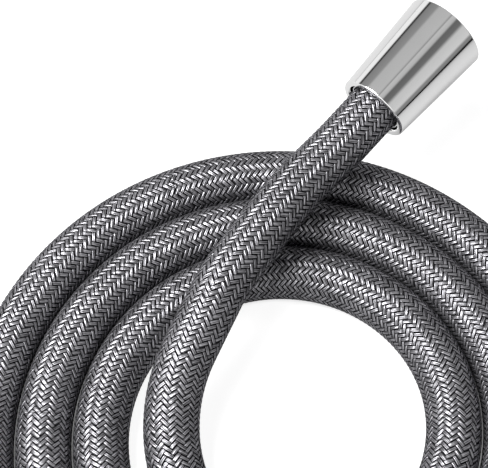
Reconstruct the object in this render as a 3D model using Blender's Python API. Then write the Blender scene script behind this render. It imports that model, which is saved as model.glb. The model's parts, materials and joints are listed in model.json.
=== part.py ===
"""A shower hose lying in a flat coil: a braided jacket over a plastic liner, with a conical union nut
on a swivel at the inner end and a hexagonal union nut at the outer end.

Metres, +Z up. The hose and the hexagonal nut lie on the floor, z = 0, and both nuts open towards +X."""

from math import ceil, cos, pi, radians, sin

import bmesh
import bpy
from mathutils import Matrix, Vector

# Clearances
FIT_GAP = 0.0003  # between any two pieces that touch on the real hose
BORE_GAP = 0.0004  # from a crimped sleeve to the nut that slides over it

# Hose
HOSE_OD = 0.0145
HOSE_BORE = 0.0080
BRAID_WALL = 0.0017
COIL_SIDES = 6
FREE_SIDES = 12

# Coil, seen from above: radius to the hose's centreline where it first crosses the +X direction
START_RADIUS = 0.0444
TURN_GAP = 0.0005
POINTS_PER_TURN = 24
INNER_ANGLE = -262.5  # degrees, anticlockwise from +X
OUTER_ANGLE = 991.6  # where the hose heads along +X

# Inner end of the coil: it draws in, and climbs to lie on top of the turns
DRAW_ANGLES = (-107.0, -272.0)
INNER_DRAW = 0.0037
CLIMB_ANGLES = (-163.0, -300.0)
CLIMB_OVER = 0.0002  # past the hose's own diameter

# Free stretches: (x, y) from the coil's centre and height over the coil's centreline
LEAD_ROUTE = ((0.0255, 0.0383, 0.0168), (0.0470, 0.0404, 0.0174))
TAIL_ROUTE = ((0.0360, -0.0863, 0.0026),)
POINT_STEP = 2 * HOSE_OD
LEAD_IN = 0.1 * HOSE_OD  # straight, square to the coil's end

# Where the nuts lie: centre of each nut's rear face, from the coil's centre
CONE_REAR = (0.0795, 0.0401, 0.0201)  # z from the coil's centreline
CONE_TILT = radians(6.5)
HEX_REAR_X = 0.0722

# Crimped sleeves and barbed stems
FERRULE_WALL = 0.0004
FERRULE_RIM = 0.0009  # from the conical nut's rear face to the sleeve
HEX_FERRULE_LENGTH = 0.0135
STEM_WALL = 0.0010
STEM_LENGTH = 0.0100
BARB_PITCH = 0.0025
BARB_HEIGHT = 0.0005
BARB_SLOPE = 0.8  # of its pitch, before it drops back

# Union nuts
SEAT_WIDTH = 0.00095  # shoulder inside the nut, from its rear bore to its thread
THREAD_HEIGHT = 0.00118
NUT_WALL = 0.00152  # outside the thread
CONE_REAR_WALL = 0.0019
CONE_GRIP = 0.0119  # thread past the washer
HEX_GRIP = 0.0068
HEX_NECK_WALL = 0.0019
HEX_NECK = 0.0030
THREAD_RELIEF = 0.0016
RIM_RADIUS = 0.0010
EDGE_BREAK = 0.0004
NUT_TRAVEL = 0.0110
SLIP_RING_THICKNESS = 0.0012
HEX_SLIP_RING_THICKNESS = 0.0010
WASHER_THICKNESS = 0.0020
WASHER_BORE = 0.0110

# Swivel of the conical end
HOSE_IN_CONE = 0.0080
STOP_FLANGE = 0.0014
COLLAR_BARREL = 0.0048
COLLAR_FLANGE = 0.0025
COLLAR_STEP = 0.00025  # the collar's barrel is this much under the hose's radius
COLLAR_WALL = 0.0017
O_RING_D = 0.0010
O_RING_GAP = 0.0007  # land between the two grooves
O_RING_LAND = 0.0011  # from the stop flange to the first groove
SNAP_RING_THICKNESS = 0.0008
SNAP_RING_WIDTH = 0.0017
SNAP_GROOVE = 0.0007
SNAP_LIP = 0.0006  # of the stem, past the snap ring's groove
SNAP_OPENING = 0.0045

# Hexagonal end
HOSE_IN_HEX = 0.0048
HEX_FLANGE = 0.0018

# Worked out from the sizes above
HOSE_R = HOSE_OD / 2
HOSE_BORE_R = HOSE_BORE / 2
LINER_R = HOSE_R - BRAID_WALL - FIT_GAP
FLOOR_CUT = 0.1 * HOSE_OD
COIL_HEIGHT = HOSE_R - FLOOR_CUT
PITCH = HOSE_OD + TURN_GAP
FERRULE_IN_R = HOSE_R + FIT_GAP
FERRULE_R = FERRULE_IN_R + FERRULE_WALL
REAR_BORE_R = FERRULE_R + BORE_GAP
THREAD_R = REAR_BORE_R + SEAT_WIDTH
RELIEF_R = THREAD_R + THREAD_HEIGHT / 2
NUT_R = THREAD_R + THREAD_HEIGHT + NUT_WALL
CONE_REAR_R = REAR_BORE_R + CONE_REAR_WALL
HEX_NECK_R = REAR_BORE_R + HEX_NECK_WALL
FLANGE_R = THREAD_R - FIT_GAP
STEM_R = HOSE_BORE_R * cos(pi / FREE_SIDES) - FIT_GAP
STEM_BORE_R = STEM_R - STEM_WALL
BARREL_R = HOSE_R - COLLAR_STEP
COLLAR_BORE_R = BARREL_R - COLLAR_WALL
JOURNAL_R = COLLAR_BORE_R - FIT_GAP
O_GROOVE_R = JOURNAL_R - O_RING_D - FIT_GAP
O_GROOVE = O_RING_D + 2 * FIT_GAP
SNAP_GROOVE_R = JOURNAL_R - SNAP_GROOVE
SNAP_IN_R = SNAP_GROOVE_R + FIT_GAP
SNAP_R = SNAP_IN_R + SNAP_RING_WIDTH
RECESS_R = SNAP_R + FIT_GAP

# Heights up the conical end's axis, from the nut's rear face
STOP_Z = HOSE_IN_CONE + FIT_GAP
COLLAR_Z = STOP_Z + STOP_FLANGE + FIT_GAP
COLLAR_FLANGE_Z = COLLAR_Z + COLLAR_BARREL
COLLAR_TOP_Z = COLLAR_FLANGE_Z + COLLAR_FLANGE
SLIP_Z = COLLAR_FLANGE_Z - FIT_GAP - SLIP_RING_THICKNESS
CONE_SEAT_Z = SLIP_Z - FIT_GAP
CONE_WASHER_Z = COLLAR_TOP_Z + FIT_GAP
CONE_LENGTH = CONE_WASHER_Z + WASHER_THICKNESS + CONE_GRIP
RECESS_Z = COLLAR_TOP_Z - SNAP_RING_THICKNESS - 3 * FIT_GAP
SNAP_Z = RECESS_Z + FIT_GAP

# Heights up the hexagonal end's axis, from the nut's rear face
HEX_FLANGE_Z = HOSE_IN_HEX + FIT_GAP
HEX_SLIP_Z = HEX_FLANGE_Z - FIT_GAP - HEX_SLIP_RING_THICKNESS
HEX_SEAT_Z = HEX_SLIP_Z - FIT_GAP
HEX_WASHER_Z = HEX_FLANGE_Z + HEX_FLANGE + FIT_GAP
HEX_LENGTH = HEX_WASHER_Z + WASHER_THICKNESS + HEX_GRIP
HEX_CORNER_R = NUT_R / cos(pi / 6) - EDGE_BREAK


# ---------------------------------------------------------------- scene and materials


def clear_scene():
    for thing in list(bpy.data.objects):
        bpy.data.objects.remove(thing, do_unlink=True)


def material(name, colour, roughness, metallic):
    made = bpy.data.materials.new(name)
    made.use_nodes = True
    shader = made.node_tree.nodes["Principled BSDF"]
    shader.inputs["Base Color"].default_value = (*colour, 1.0)
    shader.inputs["Roughness"].default_value = roughness
    shader.inputs["Metallic"].default_value = metallic
    return made


def empty(name, parent, place, turn=0.0):
    """An empty at `place`, turned about Y."""
    made = bpy.data.objects.new(name, None)
    bpy.context.collection.objects.link(made)
    made.parent = parent
    made.location = place
    made.rotation_euler = (0.0, turn, 0.0)
    return made


def add_object(name, mesh, parent, finish=None):
    made = bpy.data.objects.new(name, mesh)
    bpy.context.collection.objects.link(made)
    made.parent = parent
    if finish:
        mesh.materials.clear()
        mesh.materials.append(finish)
        mesh.shade_smooth()
        mesh.set_sharp_from_angle(angle=radians(35))
    return made


def hide_cutter(cutter):
    cutter.hide_render = True
    cutter.display_type = "WIRE"
    return cutter


def cut(thing, cutter, operation="DIFFERENCE"):
    change = thing.modifiers.new(cutter.name, "BOOLEAN")
    change.operation = operation
    change.solver = "EXACT"
    change.object = cutter


# ---------------------------------------------------------------- turned pieces


def arc(centre_r, centre_z, radius, start, end, steps=3):
    """Points of an arc in the (radius, height) plane; angles in degrees."""
    angles = [radians(start + (end - start) * k / steps) for k in range(steps + 1)]
    return [(centre_r + radius * cos(a), centre_z + radius * sin(a)) for a in angles]


def turned_mesh(name, outline, sides):
    """A closed (radius, height) outline turned all the way round Z."""
    bm = bmesh.new()
    ring = [bm.verts.new((r, 0.0, z)) for r, z in outline]
    edges = [bm.edges.new((a, b)) for a, b in zip(ring, ring[1:] + ring[:1])]
    bmesh.ops.spin(
        bm,
        geom=ring + edges,
        cent=(0.0, 0.0, 0.0),
        axis=(0.0, 0.0, 1.0),
        angle=2 * pi,
        steps=sides,
        use_merge=True,
    )
    bmesh.ops.recalc_face_normals(bm, faces=bm.faces)
    mesh = bpy.data.meshes.new(name)
    bm.to_mesh(mesh)
    bm.free()
    return mesh


def turned(name, outline, parent, finish, sides=36):
    return add_object(name, turned_mesh(name, outline, sides), parent, finish)


def block_cutter(name, low, high, parent):
    """A box between two corners, to cut with."""
    low, high = Vector(low), Vector(high)
    bm = bmesh.new()
    size = Matrix.Diagonal((*(high - low), 1.0))
    bmesh.ops.create_cube(bm, size=1.0, matrix=Matrix.Translation((low + high) / 2) @ size)
    mesh = bpy.data.meshes.new(name)
    bm.to_mesh(mesh)
    bm.free()
    return hide_cutter(add_object(name, mesh, parent))


def ring_outline(inner_r, outer_r, low, high):
    return [(inner_r, low), (outer_r, low), (outer_r, high), (inner_r, high)]


def nut_bore(seat, length, washer_top):
    """The inside of a union nut from its mouth down to its rear face."""
    relief_top = washer_top + THREAD_RELIEF
    slope = RELIEF_R - THREAD_R
    return [
        (THREAD_R + EDGE_BREAK, length),
        (THREAD_R, length - EDGE_BREAK),
        (THREAD_R, relief_top + slope),
        (RELIEF_R, relief_top),
        (RELIEF_R, washer_top + slope),
        (THREAD_R, washer_top),
        (THREAD_R, seat),
        (REAR_BORE_R, seat),
        (REAR_BORE_R, EDGE_BREAK),
        (REAR_BORE_R + EDGE_BREAK, 0.0),
    ]


def stem_outline(flange_z):
    """The barbed stem's outside, from its tip up to the flange that stops the hose."""
    tip = flange_z - STEM_LENGTH
    barbs = int((STEM_LENGTH - BARB_PITCH / 2) / BARB_PITCH)
    points = [(STEM_BORE_R, tip)]
    for k in range(barbs):
        low = tip + k * BARB_PITCH
        points += [(STEM_R - BARB_HEIGHT, low), (STEM_R, low + BARB_PITCH * BARB_SLOPE)]
    points += [(STEM_R - BARB_HEIGHT, tip + barbs * BARB_PITCH), (STEM_R - BARB_HEIGHT, flange_z)]
    return points


def add_ferrule(name, low, high, parent, finish):
    """A crimped sleeve with its mouth turned out a little."""
    outline = [
        (FERRULE_IN_R + FERRULE_WALL / 2, low),
        (FERRULE_R, low),
        (FERRULE_R, high),
        (FERRULE_IN_R, high),
        (FERRULE_IN_R, low + FERRULE_WALL),
    ]
    return turned(name, outline, parent, finish)


# ---------------------------------------------------------------- conical end


def add_cone_nut(parent, finish):
    outline = arc(CONE_REAR_R - RIM_RADIUS, RIM_RADIUS, RIM_RADIUS, 270, 360)
    outline += arc(NUT_R - RIM_RADIUS / 2, CONE_LENGTH - RIM_RADIUS / 2, RIM_RADIUS / 2, 0, 90)
    outline += nut_bore(CONE_SEAT_Z, CONE_LENGTH, CONE_WASHER_Z + WASHER_THICKNESS)
    return turned("cone_nut", outline, parent, finish, sides=48)


def add_cone_stem(parent, finish):
    snap_groove_z = SNAP_Z - FIT_GAP
    snap_groove_top = SNAP_Z + SNAP_RING_THICKNESS + FIT_GAP
    top = snap_groove_top + SNAP_LIP
    outline = stem_outline(STOP_Z)
    outline += [(FERRULE_R, STOP_Z), (FERRULE_R, STOP_Z + STOP_FLANGE), (JOURNAL_R, STOP_Z + STOP_FLANGE)]
    for low in o_ring_grooves():
        outline += [
            (JOURNAL_R, low),
            (O_GROOVE_R, low),
            (O_GROOVE_R, low + O_GROOVE),
            (JOURNAL_R, low + O_GROOVE),
        ]
    outline += [
        (JOURNAL_R, snap_groove_z),
        (SNAP_GROOVE_R, snap_groove_z),
        (SNAP_GROOVE_R, snap_groove_top),
        (JOURNAL_R, snap_groove_top),
        (JOURNAL_R, top),
        (STEM_BORE_R, top),
    ]
    return turned("cone_barbed_stem", outline, parent, finish, sides=32)


def o_ring_grooves():
    first = STOP_Z + STOP_FLANGE + O_RING_LAND
    return [first, first + O_GROOVE + O_RING_GAP]


def add_collar(parent, finish):
    outline = [
        (COLLAR_BORE_R, COLLAR_Z),
        (BARREL_R - EDGE_BREAK, COLLAR_Z),
        (BARREL_R, COLLAR_Z + EDGE_BREAK),
        (BARREL_R, COLLAR_FLANGE_Z),
        (FLANGE_R, COLLAR_FLANGE_Z),
        (FLANGE_R, COLLAR_TOP_Z),
        (RECESS_R, COLLAR_TOP_Z),
        (RECESS_R, RECESS_Z),
        (COLLAR_BORE_R, RECESS_Z),
    ]
    return turned("cone_swivel_collar", outline, parent, finish)


def add_o_rings(parent, finish):
    radius = O_RING_D / 2
    for name, low in zip(("cone_rear_o_ring", "cone_front_o_ring"), o_ring_grooves()):
        outline = arc(JOURNAL_R - radius, low + O_GROOVE / 2, radius, 0, 360, steps=8)[:-1]
        turned(name, outline, parent, finish, sides=32)


def add_snap_ring(parent, finish):
    top = SNAP_Z + SNAP_RING_THICKNESS
    ring = turned("cone_snap_ring", ring_outline(SNAP_IN_R, SNAP_R, SNAP_Z, top), parent, finish)
    half = SNAP_OPENING / 2
    low = (0.0, -half, SNAP_Z - FIT_GAP)
    cut(ring, block_cutter("snap_ring_opening", low, (2 * SNAP_R, half, top + FIT_GAP), parent))
    return ring


# ---------------------------------------------------------------- hexagonal end


def add_hex_nut(parent, finish):
    chamfer = HEX_CORNER_R - NUT_R
    outline = [
        (HEX_NECK_R - EDGE_BREAK, 0.0),
        (HEX_NECK_R, EDGE_BREAK),
        (HEX_NECK_R, HEX_NECK),
        (NUT_R, HEX_NECK),
        (HEX_CORNER_R, HEX_NECK + chamfer / 2),
        (HEX_CORNER_R, HEX_LENGTH - chamfer / 2),
        (NUT_R, HEX_LENGTH),
    ]
    outline += nut_bore(HEX_SEAT_Z, HEX_LENGTH, HEX_WASHER_Z + WASHER_THICKNESS)
    nut = turned("hex_nut", outline, parent, finish, sides=48)
    bm = bmesh.new()
    corner_r = NUT_R / cos(pi / 6)
    bmesh.ops.create_cone(
        bm,
        cap_ends=True,
        segments=6,
        radius1=corner_r,
        radius2=corner_r,
        depth=2 * HEX_LENGTH,
        matrix=Matrix.Translation((0.0, 0.0, HEX_LENGTH / 2)),
    )
    mesh = bpy.data.meshes.new("hex_cutter")
    bm.to_mesh(mesh)
    bm.free()
    cutter = hide_cutter(add_object("hex_cutter", mesh, parent))
    cut(nut, cutter, "INTERSECT")
    return nut


def add_hex_stem(parent, finish):
    top = HEX_FLANGE_Z + HEX_FLANGE
    outline = stem_outline(HEX_FLANGE_Z)
    outline += [(FLANGE_R, HEX_FLANGE_Z), (FLANGE_R, top), (STEM_BORE_R, top)]
    return turned("hex_barbed_stem", outline, parent, finish, sides=32)


# ---------------------------------------------------------------- hose


def share_of(value, start, end):
    """How far `value` is from `start` to `end`, 0 to 1."""
    return min(1.0, max(0.0, (value - start) / (end - start)))


def coil_point(angle):
    """The hose's centreline at an angle in degrees, from the coil's centre."""
    drawn = share_of(angle, *DRAW_ANGLES)
    climbed = share_of(angle, *CLIMB_ANGLES)
    hump = drawn**2 * (1 - drawn) * 27 / 4  # from 0 up to 1 and back to 0
    ramp = climbed**2 * (3 - 2 * climbed)  # from 0 to 1
    radius = START_RADIUS + PITCH * angle / 360 - INNER_DRAW * hump
    height = COIL_HEIGHT + (HOSE_OD + CLIMB_OVER) * ramp
    turn = radians(angle)
    return Vector((radius * cos(turn), radius * sin(turn), height))


def coil_heading(angle):
    """The way the hose runs there, towards its outer end."""
    return (coil_point(angle + 0.5) - coil_point(angle - 0.5)).normalized()


def coil_points():
    """The whole coil, with a straight run of one diameter at each end."""
    steps = round((OUTER_ANGLE - INNER_ANGLE) * POINTS_PER_TURN / 360)
    angles = [INNER_ANGLE + (OUTER_ANGLE - INNER_ANGLE) * k / steps for k in range(steps + 1)]
    points = [coil_point(a) for a in angles]
    before = points[0] - coil_heading(INNER_ANGLE) * HOSE_OD
    heading = outer_heading()
    return [before, *points, points[-1] + heading * HOSE_OD]


def outer_heading():
    flat = coil_heading(OUTER_ANGLE)
    return Vector((flat.x, flat.y, 0.0)).normalized()


def smooth_curve(points, start_heading, end_heading, steps=40):
    """Fine points of a smooth curve through `points`, with the headings given at its ends."""
    spans = [(b - a).length for a, b in zip(points, points[1:])]
    slopes = [start_heading.normalized()]
    for k in range(1, len(points) - 1):
        slopes.append((points[k + 1] - points[k - 1]) / (spans[k - 1] + spans[k]))
    slopes.append(end_heading.normalized())
    fine = [points[0]]
    for k, span in enumerate(spans):
        for j in range(1, steps + 1):
            t = j / steps
            fine.append(
                points[k] * (2 * t**3 - 3 * t**2 + 1)
                + slopes[k] * span * (t**3 - 2 * t**2 + t)
                + points[k + 1] * (3 * t**2 - 2 * t**3)
                + slopes[k + 1] * span * (t**3 - t**2)
            )
    return fine


def spaced(fine, step):
    """Points at even distances along a fine line, about `step` apart."""
    reach = [0.0]
    for a, b in zip(fine, fine[1:]):
        reach.append(reach[-1] + (b - a).length)
    count = max(1, ceil(reach[-1] / step))
    found, k = [], 0
    for j in range(count + 1):
        want = reach[-1] * j / count
        while k < len(fine) - 2 and reach[k + 1] < want:
            k += 1
        share = (want - reach[k]) / (reach[k + 1] - reach[k])
        found.append(fine[k].lerp(fine[k + 1], share))
    return found


def free_points(start, start_heading, own_points, end, end_heading, straight):
    """A free stretch: straight off the coil, smooth through its own points, straight into its nut."""
    first = start + start_heading * LEAD_IN
    last = end - end_heading * straight
    route = [first] + [Vector(p) + Vector((0.0, 0.0, COIL_HEIGHT)) for p in own_points] + [last]
    bend = spaced(smooth_curve(route, start_heading, end_heading), POINT_STEP)
    return [start, *bend, end]


def tube_mesh(name, points, radius, sides):
    """A capped tube along `points`, as a mesh."""
    curve = bpy.data.curves.new(name, "CURVE")
    curve.dimensions = "3D"
    curve.bevel_depth = radius
    curve.bevel_resolution = (sides - 4) // 2
    curve.use_fill_caps = True
    curve.twist_mode = "Z_UP"
    line = curve.splines.new("POLY")
    line.points.add(len(points) - 1)
    for point, place in zip(line.points, points):
        point.co = (*place, 1.0)
    holder = bpy.data.objects.new(name, curve)
    mesh = bpy.data.meshes.new_from_object(holder)
    bpy.data.objects.remove(holder)
    bpy.data.curves.remove(curve)
    bm = bmesh.new()
    bm.from_mesh(mesh)
    bmesh.ops.remove_doubles(bm, verts=bm.verts, dist=0.000001)
    bmesh.ops.recalc_face_normals(bm, faces=bm.faces)
    bm.to_mesh(mesh)
    bm.free()
    return mesh


def past_the_ends(points):
    """The same line, a little longer at both ends, for a cutter."""
    first = points[0] + (points[0] - points[1]).normalized() * FIT_GAP
    last = points[-1] + (points[-1] - points[-2]).normalized() * FIT_GAP
    return [first, *points[1:-1], last]


def add_hose_layer(name, points, outer_r, bore_r, sides, parent, finish):
    layer = add_object(name, tube_mesh(name, points, outer_r, sides), parent, finish)
    bore = tube_mesh(name + "_bore", past_the_ends(points), bore_r, sides)
    cut(layer, hide_cutter(add_object(name + "_bore", bore, parent)))
    return layer


def add_hose(stretch, points, sides, parent, braid, plastic):
    """One stretch of hose: its braided jacket and the liner inside it."""
    bore_r = LINER_R + FIT_GAP
    jacket = add_hose_layer(f"hose_{stretch}_braid", points, HOSE_R, bore_r, sides, parent, braid)
    add_hose_layer(f"hose_{stretch}_liner", points, LINER_R, HOSE_BORE_R, sides, parent, plastic)
    return jacket


def cut_floor(jackets, reach, parent):
    """Cuts the jackets off flat at z = 0, where they lie on the floor."""
    floor = block_cutter("floor_cutter", (-reach, -reach, -HOSE_OD), (reach, reach, 0.0), parent)
    for jacket in jackets:
        cut(jacket, floor)


def least_turn_gap():
    """The least space between one turn of the coil and the next, measured on its points."""
    points = coil_points()
    gap = float("inf")
    for k, place in enumerate(points):
        for other in points[k + POINTS_PER_TURN // 2 :]:
            gap = min(gap, (other - place).length - HOSE_OD)
    return gap


def length_of(points):
    return sum((b - a).length for a, b in zip(points, points[1:]))


# ---------------------------------------------------------------- places


def plan_origin(hex_y):
    """The middle of the two end fittings, seen from above, from the coil's centre."""
    low_x = HEX_REAR_X + HOSE_IN_HEX - HEX_FERRULE_LENGTH
    high_x = CONE_REAR[0] + CONE_LENGTH * cos(CONE_TILT) + NUT_R * sin(CONE_TILT)
    low_y = hex_y - HEX_CORNER_R
    high_y = CONE_REAR[1] + NUT_R
    return Vector(((low_x + high_x) / 2, (low_y + high_y) / 2, 0.0))


def main():
    clear_scene()
    chrome = material("chrome", (0.80, 0.81, 0.83), 0.08, 1.0)
    brass = material("brass", (0.72, 0.55, 0.28), 0.30, 1.0)
    steel = material("stainless_steel", (0.62, 0.62, 0.63), 0.28, 1.0)
    rubber = material("black_rubber", (0.03, 0.03, 0.03), 0.60, 0.0)
    nylon = material("white_nylon", (0.85, 0.85, 0.82), 0.45, 0.0)
    braid = material("grey_braid", (0.36, 0.36, 0.37), 0.42, 0.35)
    plastic = material("liner_plastic", (0.80, 0.82, 0.83), 0.35, 0.0)

    coil = coil_points()
    heading = outer_heading()
    hex_end_point = Vector((HEX_REAR_X + HOSE_IN_HEX, coil[-1].y, NUT_R))
    centre = empty("coil_centre", None, -plan_origin(coil[-1].y))
    cone_place = Vector(CONE_REAR) + Vector((0.0, 0.0, COIL_HEIGHT))
    cone_end = empty("cone_end", centre, cone_place, pi / 2 - CONE_TILT)
    hex_place = hex_end_point - Vector((HOSE_IN_HEX, 0.0, 0.0))
    hex_end = empty("hex_end", centre, hex_place, pi / 2)

    cone_axis = Vector((cos(CONE_TILT), 0.0, sin(CONE_TILT)))
    hex_axis = Vector((1.0, 0.0, 0.0))
    inner_heading = (coil[0] - coil[1]).normalized()
    lead = free_points(
        coil[0] + inner_heading * FIT_GAP,
        inner_heading,
        LEAD_ROUTE,
        cone_place + cone_axis * HOSE_IN_CONE,
        cone_axis,
        HOSE_IN_CONE + NUT_TRAVEL,
    )
    tail = free_points(
        coil[-1] + heading * FIT_GAP,
        heading,
        TAIL_ROUTE,
        hex_end_point,
        hex_axis,
        HOSE_IN_HEX + NUT_TRAVEL,
    )

    add_hose("lead", lead, FREE_SIDES, centre, braid, plastic)
    coiled = add_hose("coil", coil, COIL_SIDES, centre, braid, plastic)
    trailing = add_hose("tail", tail, FREE_SIDES, centre, braid, plastic)
    cut_floor((coiled, trailing), 2 * coil[-1].length, centre)

    add_cone_nut(cone_end, chrome)
    ring = ring_outline(REAR_BORE_R, FLANGE_R, SLIP_Z, SLIP_Z + SLIP_RING_THICKNESS)
    turned("cone_slip_ring", ring, cone_end, nylon)
    add_collar(cone_end, brass)
    add_cone_stem(cone_end, brass)
    add_ferrule("cone_ferrule", FERRULE_RIM, HOSE_IN_CONE, cone_end, steel)
    add_o_rings(cone_end, rubber)
    add_snap_ring(cone_end, steel)
    washer = ring_outline(WASHER_BORE / 2, FLANGE_R, CONE_WASHER_Z, CONE_WASHER_Z + WASHER_THICKNESS)
    turned("cone_seal_washer", washer, cone_end, rubber)

    add_hex_nut(hex_end, chrome)
    ring = ring_outline(REAR_BORE_R, FLANGE_R, HEX_SLIP_Z, HEX_SLIP_Z + HEX_SLIP_RING_THICKNESS)
    turned("hex_slip_ring", ring, hex_end, nylon)
    add_hex_stem(hex_end, brass)
    add_ferrule("hex_ferrule", HOSE_IN_HEX - HEX_FERRULE_LENGTH, HOSE_IN_HEX, hex_end, steel)
    washer = ring_outline(WASHER_BORE / 2, FLANGE_R, HEX_WASHER_Z, HEX_WASHER_Z + WASHER_THICKNESS)
    turned("hex_seal_washer", washer, hex_end, rubber)

    hose = length_of(lead) + length_of(coil) + length_of(tail)
    fittings = CONE_LENGTH - HOSE_IN_CONE + HEX_LENGTH - HOSE_IN_HEX
    print(f"hose {hose:.4f} m, over both nuts {hose + fittings:.4f} m")
    print(f"least gap between turns {least_turn_gap() * 1000:.2f} mm")


main()
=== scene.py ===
"""A braided shower hose in a flat coil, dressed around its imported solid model.

Run as a script it loads the solids, sets up the stage and makes each piece of the hose with an operator.
Metres, +Z up.
"""

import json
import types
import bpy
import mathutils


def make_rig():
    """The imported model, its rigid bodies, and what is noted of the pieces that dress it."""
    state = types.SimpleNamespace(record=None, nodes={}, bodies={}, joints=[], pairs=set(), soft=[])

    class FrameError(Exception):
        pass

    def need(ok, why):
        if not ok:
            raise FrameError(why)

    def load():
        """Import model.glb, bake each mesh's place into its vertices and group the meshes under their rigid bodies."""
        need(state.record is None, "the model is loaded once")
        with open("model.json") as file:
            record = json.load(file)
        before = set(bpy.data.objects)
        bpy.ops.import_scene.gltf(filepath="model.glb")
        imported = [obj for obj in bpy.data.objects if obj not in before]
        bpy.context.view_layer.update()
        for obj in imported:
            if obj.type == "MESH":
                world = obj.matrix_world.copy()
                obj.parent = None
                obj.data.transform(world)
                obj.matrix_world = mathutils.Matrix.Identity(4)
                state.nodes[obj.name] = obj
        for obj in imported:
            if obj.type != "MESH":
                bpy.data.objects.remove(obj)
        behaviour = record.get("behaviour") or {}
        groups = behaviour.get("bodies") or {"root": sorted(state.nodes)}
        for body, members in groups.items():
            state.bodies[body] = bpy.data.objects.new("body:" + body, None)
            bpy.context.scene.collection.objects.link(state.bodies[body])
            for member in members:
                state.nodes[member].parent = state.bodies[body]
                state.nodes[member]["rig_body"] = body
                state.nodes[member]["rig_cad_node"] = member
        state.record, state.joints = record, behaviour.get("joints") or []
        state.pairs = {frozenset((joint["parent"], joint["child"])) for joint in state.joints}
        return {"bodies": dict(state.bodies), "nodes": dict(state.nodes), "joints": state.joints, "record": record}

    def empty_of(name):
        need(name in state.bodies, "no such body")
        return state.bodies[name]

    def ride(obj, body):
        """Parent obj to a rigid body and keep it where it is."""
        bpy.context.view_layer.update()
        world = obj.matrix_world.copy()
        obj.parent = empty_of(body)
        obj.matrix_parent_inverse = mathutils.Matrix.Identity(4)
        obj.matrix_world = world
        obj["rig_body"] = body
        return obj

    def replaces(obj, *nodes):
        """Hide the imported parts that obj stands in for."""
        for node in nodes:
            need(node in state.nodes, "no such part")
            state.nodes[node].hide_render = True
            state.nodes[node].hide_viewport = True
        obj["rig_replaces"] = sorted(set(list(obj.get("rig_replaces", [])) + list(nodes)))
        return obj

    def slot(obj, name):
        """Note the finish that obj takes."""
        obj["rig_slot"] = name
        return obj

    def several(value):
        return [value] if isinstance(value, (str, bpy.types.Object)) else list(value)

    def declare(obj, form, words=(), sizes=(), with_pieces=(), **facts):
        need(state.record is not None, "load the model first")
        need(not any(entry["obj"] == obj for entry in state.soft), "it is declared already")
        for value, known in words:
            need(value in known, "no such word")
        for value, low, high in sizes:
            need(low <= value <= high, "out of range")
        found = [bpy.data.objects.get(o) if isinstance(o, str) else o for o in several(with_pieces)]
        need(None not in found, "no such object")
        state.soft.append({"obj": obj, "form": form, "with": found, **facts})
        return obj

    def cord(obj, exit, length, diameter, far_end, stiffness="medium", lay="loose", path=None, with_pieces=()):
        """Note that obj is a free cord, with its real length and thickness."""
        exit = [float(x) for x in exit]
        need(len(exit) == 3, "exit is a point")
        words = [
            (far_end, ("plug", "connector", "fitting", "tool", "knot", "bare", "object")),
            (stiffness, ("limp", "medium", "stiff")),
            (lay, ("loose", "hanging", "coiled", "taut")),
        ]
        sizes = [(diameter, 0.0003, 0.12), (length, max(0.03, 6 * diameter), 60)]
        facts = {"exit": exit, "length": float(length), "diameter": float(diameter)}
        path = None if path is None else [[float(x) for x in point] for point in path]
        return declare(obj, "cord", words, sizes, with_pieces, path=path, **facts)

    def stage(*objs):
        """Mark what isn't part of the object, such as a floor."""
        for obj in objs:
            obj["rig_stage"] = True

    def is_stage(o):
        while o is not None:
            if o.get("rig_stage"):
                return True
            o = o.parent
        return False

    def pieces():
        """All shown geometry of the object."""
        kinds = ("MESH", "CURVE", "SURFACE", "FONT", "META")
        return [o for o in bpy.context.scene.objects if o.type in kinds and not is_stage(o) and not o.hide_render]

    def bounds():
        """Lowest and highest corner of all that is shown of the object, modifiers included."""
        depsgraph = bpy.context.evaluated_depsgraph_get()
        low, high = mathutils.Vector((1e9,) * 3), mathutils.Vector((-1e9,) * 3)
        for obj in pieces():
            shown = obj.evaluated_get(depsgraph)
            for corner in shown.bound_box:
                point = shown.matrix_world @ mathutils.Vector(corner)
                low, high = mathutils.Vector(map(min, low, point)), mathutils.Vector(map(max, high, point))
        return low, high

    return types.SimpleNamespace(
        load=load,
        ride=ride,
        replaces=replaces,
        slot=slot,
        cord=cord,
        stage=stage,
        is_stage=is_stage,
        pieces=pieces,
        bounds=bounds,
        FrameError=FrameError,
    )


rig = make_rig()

bl_info = {
    "name": "Braided Shower Hose",
    "version": (1, 0, 0),
    "blender": (4, 5, 0),
    "location": "3D View > Sidebar > Hose",
    "description": "Makes the braided jacket, liner, union nuts and fittings of a coiled shower hose",
    "category": "Object",
}

import json
from math import cos, pi, radians, sin

import bmesh
import bpy
import numpy as np
from bpy.props import FloatProperty, FloatVectorProperty, IntProperty, PointerProperty
from mathutils import Matrix, Vector

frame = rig.load()
CAD_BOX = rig.bounds()

# Hose and its route, as the solids have them
HOSE_OD = 0.0145
FERRULE_IN_R = 0.00755
FERRULE_R = 0.00795
LINER_R = 0.00525
LINER_BORE_R = 0.0040
JACKET_BORE_R = 0.00555
COIL_CENTRE = Vector((-0.087828, 0.023519, 0.0))
COIL_HEIGHT = 0.0058
START_RADIUS = 0.0444
PITCH = 0.0150
INNER_ANGLE = -262.5
OUTER_ANGLE = 991.6
DRAW_ANGLES = (-107.0, -272.0)
INNER_DRAW = 0.0037
CLIMB_ANGLES = (-163.0, -300.0)
CLIMB_HEIGHT = 0.0147
LEAD_ROUTE = ((0.0255, 0.0383, 0.0168), (0.0470, 0.0404, 0.0174))
TAIL_ROUTE = ((0.0360, -0.0863, 0.0026),)
LEAD_IN = 0.00145
NUT_TRAVEL = 0.0110

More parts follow.
